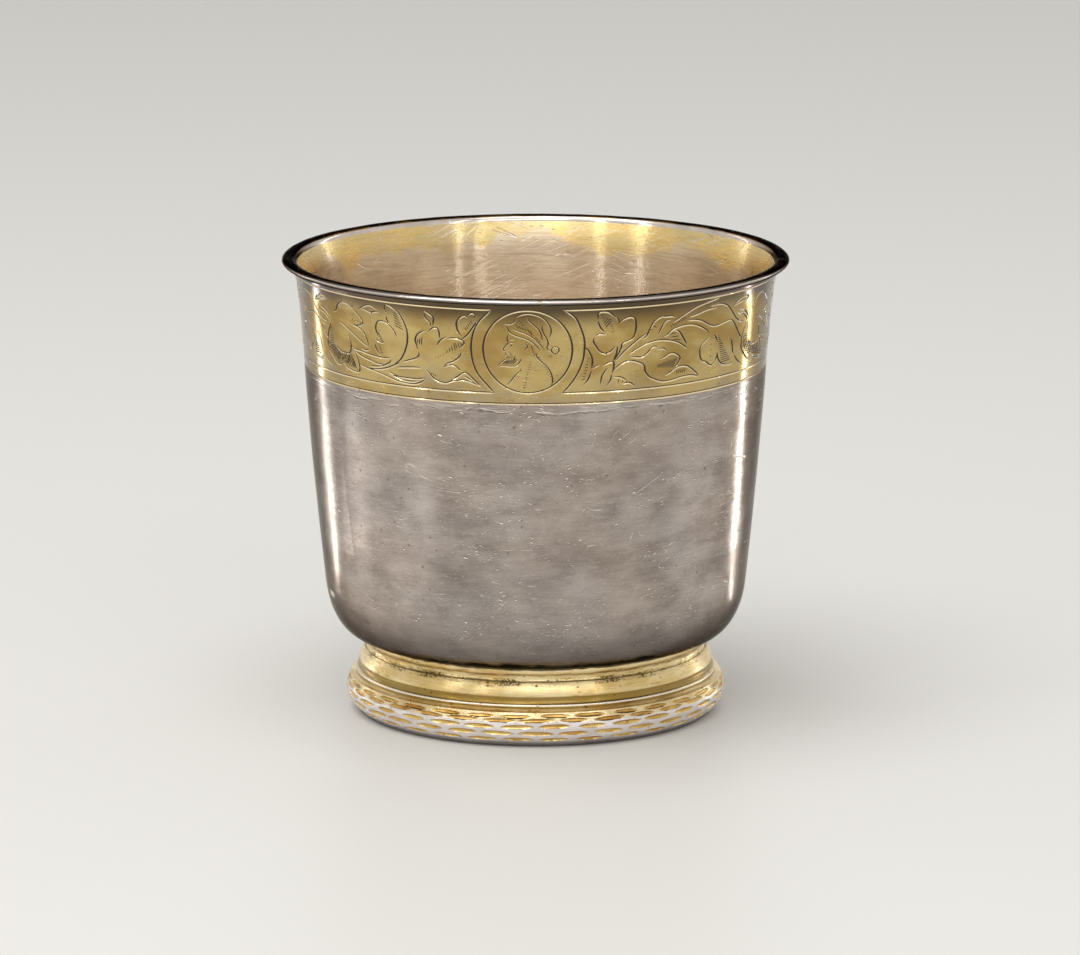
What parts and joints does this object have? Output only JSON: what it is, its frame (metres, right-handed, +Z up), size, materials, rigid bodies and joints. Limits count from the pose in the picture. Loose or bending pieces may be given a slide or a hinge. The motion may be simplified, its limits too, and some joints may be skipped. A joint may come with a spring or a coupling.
{
  "type": "footed silver beaker",
  "caption": "Footed drinking beaker in parcel-gilt silver: a raised bowl with an everted lip, an engraved gilt frieze and a moulded foot stamped with ovals.",
  "frame": {"origin": "middle of the circle that the beaker stands on", "axes": "+Z up through the middle of the mouth, -Y towards the front roundel of the frieze"},
  "size_m": [0.088, 0.088, 0.08],
  "materials": {
    "raised_silver": "old polished silver with fine scratches, and an engraved gilt frieze under the lip",
    "lip_silver": "polished silver, darkened, with rubbed gilding left in it",
    "foot_gilt": "fire gilding, pitted and darkened in the hollows",
    "worn_gilt": "gilding rubbed down to silver on the high places"
  },
  "bodies": {
    "root": {"foot_rest_ring": "worn_gilt", "foot_stamped_rim": "worn_gilt", "foot_bead_wire": "foot_gilt", "foot_band": "foot_gilt", "foot_collar": "foot_gilt", "raised_bowl": "raised_silver", "lip_wire": "lip_silver"}
  },
  "joints": []
}
